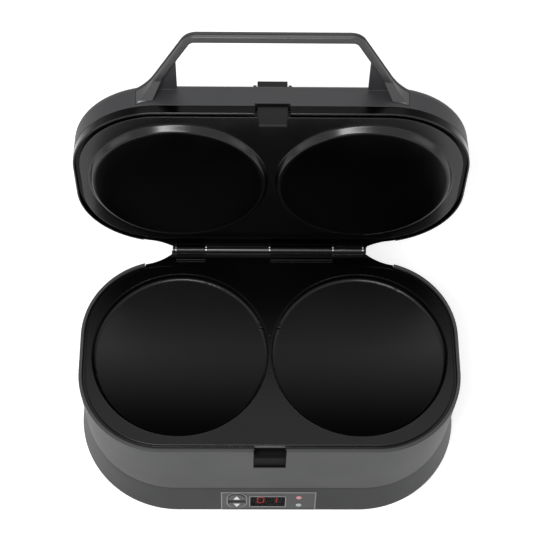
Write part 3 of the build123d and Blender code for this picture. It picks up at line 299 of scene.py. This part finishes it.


# non-stick coatings; each pair gives the front and back shares of painted shade, by which the sheen is
# killed to darken the reflections
castFinish = {"tone": (0.0016, 0.0016, 0.0017), "grain": 1000, "depth": 0.00003, "mottle": 0.3, "drift": 9.0,
              "edge": 0.0009, "edgeWearAndHighlightTone": (0.012, 0.012, 0.012), "scuff": 0.35}
coating = {"deepTone": (0.0014, 0.0014, 0.0015), "soft": 0.0012, "hingeFrom": 0.0885}
baseLook = {"rough": 0.3, "bump": 0.08, "specular": 0.26, "radius": 0.0706, "deckPaintedShade": (0.0, 0.85),
            "roundPaintedShade": (1.0, -0.7), "paintedShadeReach": 0.07}
lidLook = {"rough": 0.2, "bump": 0.06, "specular": 0.4, "radius": 0.0655, "deckPaintedShade": (0.0, 0.0),
           "roundPaintedShade": (0.8, 0.9), "paintedShadeReach": 0.06, "lip": 0.0011, "lipPaintedShade": 0.92}


def castCoating(name, turn, middles, look):
    # satin on the deck, a deeper tone inside the round areas, and painted shade that kills the sheen:
    # towards the front of the wells and the back of the deck on the base, over the round areas on the lid
    material, tree, surface, shade, loss = finishMaterial(
        name, rough=look["rough"], bump=look["bump"], specular=look["specular"], **castFinish)
    inside = None
    for middle in middles:
        mask = makeNode(tree, "ShaderNodeGroup", node_tree=roundGroup)
        mask.inputs["Middle"].default_value = middle
        mask.inputs["Turn"].default_value = turn
        mask.inputs["Radius"].default_value = look["radius"]
        mask.inputs["Soft"].default_value = coating["soft"]
        this = mask.outputs["Mask"]
        inside = this if inside is None else makeMath(tree, "MAXIMUM", inside, this)
    deep = mixTone(tree, inside, shade, (*coating["deepTone"], 1))
    tree.links.new(deep, surface.inputs["Base Color"])
    local = makeNode(tree, "ShaderNodeGroup", node_tree=slopeGroup)
    local.inputs["Place"].default_value = (0, middles[0][1], middles[0][2])
    local.inputs["Turn"].default_value = turn
    # painted shade: a metallic share over the near-black tone kills the reflection, graded from front to
    # back, and left off the hinge strip
    shadeShares = []
    for front, back in (look["deckPaintedShade"], look["roundPaintedShade"]):
        share = makeNode(tree, "ShaderNodeMapRange", {
            "Value": local.outputs["Up"], "From Min": -look["paintedShadeReach"], "From Max": look["paintedShadeReach"],
            "To Min": front, "To Max": back}, interpolation_type="SMOOTHSTEP")
        shadeShares.append(makeMath(tree, "MAXIMUM", share.outputs[0], 0.0))
    paintedShadeShare = makeNode(tree, "ShaderNodeMix", {0: inside, 2: shadeShares[0], 3: shadeShares[1]}).outputs[0]
    beforeHinge = makeMath(tree, "LESS_THAN", local.outputs["Up"], coating["hingeFrom"])
    paintedShadeShare = makeMath(tree, "MULTIPLY", paintedShadeShare, beforeHinge)
    if "lip" in look:
        # painted shade: the strip that stands behind the face has its reflection killed, so it reads dead
        # black like the shadowed gap under the shell
        strip = makeMath(tree, "GREATER_THAN", local.outputs["Out"], look["lip"])
        paintedShadeShare = makeMath(tree, "MAXIMUM", paintedShadeShare, makeMath(tree, "MULTIPLY", strip, look["lipPaintedShade"]))
    tree.links.new(paintedShadeShare, surface.inputs["Metallic"])
    return material


baseCoating = castCoating("baseCoating", (0, 0, 0), wellMiddles, baseLook)
lidMiddles = [tuple(lidPoint(side * sizes["wellSpacing"] / 2, 0, 0)) for side in (-1, 1)]
lidCoating = castCoating("lidCoating", (lidTurn, 0, 0), lidMiddles, lidLook)


# control panel: its border runs outside these places, from the middle and up from the seam
panelLook = {"tone": (0.023, 0.0235, 0.025), "rough": 0.45, "grain": 1600, "bump": 0.08, "mottle": 0.2,
             "scuff": 0.4, "edge": 0.0004}
border = {"halfWidth": 0.0389, "bottom": -0.0367, "top": -0.0081}


def panelFinish():
    material, tree, surface, shade, loss = finishMaterial("panelPlastic", **panelLook)
    place = makeNode(tree, "ShaderNodeGroup", node_tree=slopeGroup)
    place.inputs["Place"].default_value = frontOrigin
    place.inputs["Turn"].default_value = frontTurn
    aside = makeMath(tree, "ABSOLUTE", place.outputs["Across"])
    across = makeMath(tree, "GREATER_THAN", aside, border["halfWidth"])
    low = makeMath(tree, "LESS_THAN", place.outputs["Up"], border["bottom"])
    high = makeMath(tree, "GREATER_THAN", place.outputs["Up"], border["top"])
    edge = makeMath(tree, "MAXIMUM", across, makeMath(tree, "MAXIMUM", low, high))
    trimTone = (*finishes["paleTrim"]["tone"], 1)
    tree.links.new(mixTone(tree, edge, shade, trimTone), surface.inputs["Base Color"])
    return material


# display lens: a dark film that the digits show through
lensLook = {"tone": (0.004, 0.003, 0.003), "rough": 0.15, "grain": 400, "bump": 0.0, "mottle": 0.1,
            "spread": 0.03, "edge": 0.0003, "specular": 0.04}
lensAlpha = 0.6


def lensFinish():
    material, tree, surface, shade, loss = finishMaterial("smokedLens", **lensLook)
    surface.inputs["Alpha"].default_value = lensAlpha
    return material


def addGlow(tree, surface, scale, first, second, strength):
    # light of its own, uneven between two tones
    place = makeNode(tree, "ShaderNodeTexCoord").outputs["Object"]
    uneven = makeNode(tree, "ShaderNodeTexNoise", {"Vector": place, "Scale": scale}).outputs["Fac"]
    tree.links.new(mixTone(tree, uneven, (*first, 1), (*second, 1)), surface.inputs["Emission Color"])
    surface.inputs["Emission Strength"].default_value = strength


# indicator lamps: a cloudy body that hardly glows
lampBody = {"rough": 0.22, "grain": 300, "bump": 0.05, "mottle": 0.3, "spread": 0.05, "edge": 0.0003}
lampDepth = {"weight": 0.3, "radius": (0.002, 0.001, 0.001), "cloudScale": 300.0, "cloudShade": 0.75}
redLamp = {"tone": (0.5, 0.2, 0.24), "glow": (1.0, 0.3, 0.36), "strength": 0.12}
greenLamp = {"tone": (0.4, 0.45, 0.43), "glow": (0.7, 0.75, 0.7), "strength": 0.03}


def lampFinish(name, look):
    material, tree, surface, shade, loss = finishMaterial(name, look["tone"], **lampBody)
    surface.inputs["Subsurface Weight"].default_value = lampDepth["weight"]
    surface.inputs["Subsurface Radius"].default_value = lampDepth["radius"]
    dimmer = [lampDepth["cloudShade"] * part for part in look["glow"]]
    addGlow(tree, surface, lampDepth["cloudScale"], look["glow"], dimmer, look["strength"])
    return material


finishOf = {
    "upper_housing": plain["housingPlastic"], "lower_housing": plain["lowerHousingPlastic"],
    "bottom_cover": plain["blackPlastic"], "lid_shell": plain["lidPlastic"],
    "handle_liner": plain["linerPlastic"], "latch_pocket": plain["pocketPlastic"],
    "latch_lever": plain["latchPlastic"], "base_plate": baseCoating, "lid_plate": lidCoating,
    "control_panel": panelFinish(), "display_lens": lensFinish(), "display_module": plain["pocketPlastic"],
    "power_led": lampFinish("redLamp", redLamp), "ready_led": lampFinish("greenLamp", greenLamp),
    "up_button": plain["buttonPlastic"],
    "down_button": plain["buttonPlastic"], "cord_gland": plain["footRubber"],
    "control_board": plain["boardGreen"], "power_board": plain["boardGreen"],
    "button_switches": plain["blackPlastic"], "relay": plain["blackPlastic"],
    "transformer": plain["windingAndCore"], "thermostat": plain["sheetMetal"],
    "thermal_fuse": plain["sheetMetal"]}
for name, node in nodes.items():
    if name in finishOf:
        finish = finishOf[name]
    elif name.startswith("foot_"):
        finish = plain["footRubber"]
    elif "heating_element" in name:
        finish = plain["elementSheath"]
    elif "shield" in name:
        finish = plain["sheetMetal"]
    else:
        finish = plain["plainSteel"]
    node.data.materials.clear()
    node.data.materials.append(finish)
print("finishes on all nodes")


# small pieces made here
def placePiece(name, mesh, material, body):
    bmesh.ops.recalc_face_normals(mesh, faces=mesh.faces)
    data = bpy.data.meshes.new(name)
    mesh.to_mesh(data)
    mesh.free()
    piece = bpy.data.objects.new(name, data)
    bpy.context.scene.collection.objects.link(piece)
    piece.data.materials.append(material)
    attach(piece, body)


def flatPiece(name, outlines, thickness, place, material, body):
    # plates cut to these outlines, each a list of (x, s) points, standing proud of where they start
    mesh = bmesh.new()
    for outline in outlines:
        low = [mesh.verts.new(place(x, s, 0.0)) for x, s in outline]
        high = [mesh.verts.new(place(x, s, thickness)) for x, s in outline]
        mesh.faces.new(low)
        mesh.faces.new(high)
        for index in range(len(outline)):
            after = (index + 1) % len(outline)
            mesh.faces.new((low[index], low[after], high[after], high[index]))
    placePiece(name, mesh, material, body)


def ringPiece(name, outer, inner, height, place, material, body):
    # a closed band between two outlines with the same number of points
    mesh = bmesh.new()
    count = len(outer)
    rows = []
    for outline, level in ((outer, 0.0), (outer, height), (inner, height), (inner, 0.0)):
        rows.append([mesh.verts.new(place(x, s, level)) for x, s in outline])
    for row, following in zip(rows, rows[1:] + rows[:1]):
        for index in range(count):
            after = (index + 1) % count
            mesh.faces.new((row[index], row[after], following[after], following[index]))
    placePiece(name, mesh, material, body)


def stadium(middle, halfWidth, halfHeight, steps=24):
    # an upright oval with straight sides
    points = []
    straight = halfHeight - halfWidth
    for way, start in ((1, 0.0), (-1, math.pi)):
        for step in range(steps + 1):
            angle = start + math.pi * step / steps
            points.append((middle[0] + halfWidth * math.cos(angle),
                           middle[1] + way * straight + halfWidth * math.sin(angle)))
    return points


def roundedBox(middle, halfWidth, halfHeight, corner, steps=8):
    points = []
    for quarter, (x, y) in enumerate(((1, 1), (-1, 1), (-1, -1), (1, -1))):
        for step in range(steps + 1):
            angle = math.pi / 2 * (quarter + step / steps)
            points.append((middle[0] + x * (halfWidth - corner) + corner * math.cos(angle),
                           middle[1] + y * (halfHeight - corner) + corner * math.sin(angle)))
    return points


panel = {"buttonX": -0.0266, "buttonS": 0.0215, "buttonHalfWidth": 0.0071, "buttonHalfHeight": 0.0115,
         "ringGap": 0.0005, "ringWidth": 0.0009, "ringHeight": 0.0003, "windowX": -0.0006, "windowS": 0.0234,
         "windowHalfWidth": 0.0146, "windowHalfHeight": 0.0084, "bezelWidth": 0.0009, "bezelHeight": 0.0003,
         "bezelCorner": 0.0014, "bezelGap": 0.0001, "windowCorner": 0.0006, "arrowWidth": 0.0056,
         "arrowHeight": 0.0058, "arrowFromSplit": 0.0036, "buttonProud": 0.0012, "printThickness": 0.00004}
spot = (panel["buttonX"], panel["buttonS"])
reach = panel["ringGap"] + panel["ringWidth"]
ringPiece("button_surround",
          stadium(spot, panel["buttonHalfWidth"] + reach, panel["buttonHalfHeight"] + reach),
          stadium(spot, panel["buttonHalfWidth"] + panel["ringGap"],
                  panel["buttonHalfHeight"] + panel["ringGap"]),
          panel["ringHeight"], panelPoint, plain["paleTrim"], "base")
spot = (panel["windowX"], panel["windowS"])
ringPiece("display_bezel",
          roundedBox(spot, panel["windowHalfWidth"] + panel["bezelWidth"],
                     panel["windowHalfHeight"] + panel["bezelWidth"], panel["bezelCorner"]),
          roundedBox(spot, panel["windowHalfWidth"] + panel["bezelGap"],
                     panel["windowHalfHeight"] + panel["bezelGap"], panel["windowCorner"]),
          panel["bezelHeight"], panelPoint, plain["paleTrim"], "base")
for label, way in (("up", -1), ("down", 1)):
    tip = panel["buttonS"] + way * (panel["arrowFromSplit"] + panel["arrowHeight"])
    foot = panel["buttonS"] + way * panel["arrowFromSplit"]
    arrow = [(panel["buttonX"] - panel["arrowWidth"] / 2, foot),
             (panel["buttonX"] + panel["arrowWidth"] / 2, foot), (panel["buttonX"], tip)]
    flatPiece(label + "_arrow", [arrow], panel["printThickness"],
              lambda x, s, out: panelPoint(x, s, out + panel["buttonProud"]), plain["whitePrint"],
              label + "_key")


# the two red digits, as seven-segment bars on the face of the display module
digits = {"height": 0.0104, "width": 0.0064, "bar": 0.0013, "gap": 0.00015, "lean": 0.06,
          "moduleFace": -0.0029, "first": -0.0065, "second": 0.0044, "s": 0.0264, "thickness": 0.00008}
segmentLook = {"tone": (0.4, 0.02, 0.02), "rough": 0.4, "bump": 0.02, "edge": 0.0001}
segmentGlow = {"scale": 500.0, "first": (1.0, 0.05, 0.05), "second": (1.0, 0.12, 0.12), "strength": 1.7}


def segmentBar(x, s, halfLength, upright):
    # a bar with pointed ends
    half = digits["bar"] / 2
    if upright:
        outline = [(0, -halfLength), (half, -halfLength + half), (half, halfLength - half), (0, halfLength),
                   (-half, halfLength - half), (-half, -halfLength + half)]
    else:
        outline = [(-halfLength, 0), (-halfLength + half, -half), (halfLength - half, -half),
                   (halfLength, 0), (halfLength - half, half), (-halfLength + half, half)]
    return [(x + px - digits["lean"] * (s + py - digits["s"]), s + py) for px, py in outline]


def digitBars(middle, lit):
    halfWidth = (digits["width"] - digits["bar"]) / 2
    halfHeight = (digits["height"] - digits["bar"]) / 2
    across = halfWidth - digits["gap"]
    upright = halfHeight / 2 - digits["gap"]
    places = {"a": (0, -halfHeight, False), "b": (halfWidth, -halfHeight / 2, True),
              "c": (halfWidth, halfHeight / 2, True), "d": (0, halfHeight, False),
              "e": (-halfWidth, halfHeight / 2, True), "f": (-halfWidth, -halfHeight / 2, True)}
    bars = []
    for key in lit:
        x, s, isUpright = places[key]
        bars.append(segmentBar(middle + x, digits["s"] + s, upright if isUpright else across, isUpright))
    return bars


def segmentFinish():
    material, tree, surface, shade, loss = finishMaterial("litSegment", **segmentLook)
    addGlow(tree, surface, **segmentGlow)
    return material


flatPiece("digit_segments", digitBars(digits["first"], "abcdef") + digitBars(digits["second"], "bc"),
          digits["thickness"], lambda x, s, out: panelPoint(x, s, out + digits["moduleFace"]),
          segmentFinish(), "base")
print("panel pieces made")


# floor, light and camera
studio = {"floorTone": 0.86, "floorGlow": 0.5, "floorHalf": 6.0, "worldStrength": 0.22}
lights = {
    "key": {"place": (-0.3, -0.8, 1.65), "target": (0, 0, 0.15), "width": 0.9, "height": 0.5, "power": 24.0},
    "back": {"place": (0.0, 0.95, 1.35), "target": (0, 0, 0.12), "width": 1.4, "height": 0.5, "power": 5.0},
    "left": {"place": (-1.5, -0.1, 0.7), "target": (0, 0, 0.12), "width": 0.7, "height": 0.7, "power": 1.4},
    "right": {"place": (1.5, -0.1, 0.7), "target": (0, 0, 0.12), "width": 0.7, "height": 0.7, "power": 1.4}}
view = {"place": (-0.017276, -0.513508, 1.208317), "down": math.radians(62.693),
        "yaw": math.radians(1.9738), "roll": math.radians(1.9813), "focal": 97.382, "sensor": 36.0,
        "clip": 0.01}


def whiteRays(tree):
    # the surroundings look white to the camera, in reflections and through clear pieces
    path = makeNode(tree, "ShaderNodeLightPath").outputs
    both = makeMath(tree, "MAXIMUM", path["Is Camera Ray"], path["Is Glossy Ray"])
    return makeMath(tree, "MAXIMUM", both, path["Is Transmission Ray"])


def makeFloor():
    data = bpy.data.meshes.new("floor")
    half = studio["floorHalf"]
    corners = [(-half, -half, 0), (half, -half, 0), (half, half, 0), (-half, half, 0)]
    data.from_pydata(corners, [], [(0, 1, 2, 3)])
    floor = bpy.data.objects.new("floor", data)
    bpy.context.scene.collection.objects.link(floor)
    material = bpy.data.materials.new("paleFloor")
    material.use_nodes = True
    tree = material.node_tree
    tree.nodes.clear()
    matt = makeNode(tree, "ShaderNodeBsdfDiffuse", {"Color": (studio["floorTone"],) * 3 + (1,)})
    strength = makeMath(tree, "MULTIPLY", whiteRays(tree), studio["floorGlow"])
    glow = makeNode(tree, "ShaderNodeEmission", {"Strength": strength})
    both = makeNode(tree, "ShaderNodeAddShader", {0: matt.outputs[0], 1: glow.outputs[0]})
    makeNode(tree, "ShaderNodeOutputMaterial", {"Surface": both.outputs[0]})
    data.materials.append(material)


def makeWorld():
    world = bpy.data.worlds.new("studio")
    bpy.context.scene.world = world
    world.use_nodes = True
    tree = world.node_tree
    tree.nodes.clear()
    dim = studio["worldStrength"]
    strength = makeMath(tree, "MULTIPLY_ADD", whiteRays(tree), 1.0 - dim, dim)
    sky = makeNode(tree, "ShaderNodeBackground", {"Color": (1, 1, 1, 1), "Strength": strength})
    makeNode(tree, "ShaderNodeOutputWorld", {"Surface": sky.outputs[0]})


def makeLamp(name, place, target, width, height, power):
    lamp = bpy.data.lights.new(name, "AREA")
    lamp.shape = "RECTANGLE"
    lamp.size = width
    lamp.size_y = height
    lamp.energy = power
    holder = bpy.data.objects.new(name, lamp)
    bpy.context.scene.collection.objects.link(holder)
    holder.location = place
    holder.rotation_euler = (Vector(target) - Vector(place)).to_track_quat("-Z", "Y").to_euler()


def makeCamera():
    data = bpy.data.cameras.new("camera")
    data.lens = view["focal"]
    data.sensor_width = view["sensor"]
    data.clip_start = view["clip"]
    holder = bpy.data.objects.new("camera", data)
    bpy.context.scene.collection.objects.link(holder)
    level = math.cos(view["down"])
    ahead = Vector((math.sin(view["yaw"]) * level, math.cos(view["yaw"]) * level, -math.sin(view["down"])))
    right = Vector((math.cos(view["yaw"]), -math.sin(view["yaw"]), 0))
    up = right.cross(ahead)
    turnedRight = right * math.cos(view["roll"]) + up * math.sin(view["roll"])
    turnedUp = up * math.cos(view["roll"]) - right * math.sin(view["roll"])
    axes = Matrix((turnedRight, turnedUp, -ahead)).transposed().to_4x4()
    holder.matrix_world = Matrix.Translation(view["place"]) @ axes
    bpy.context.scene.camera = holder


makeFloor()
makeWorld()
for name, settings in lights.items():
    makeLamp(name, **settings)
makeCamera()
bpy.context.scene.view_settings.view_transform = "Standard"
print("floor, light and camera ready")
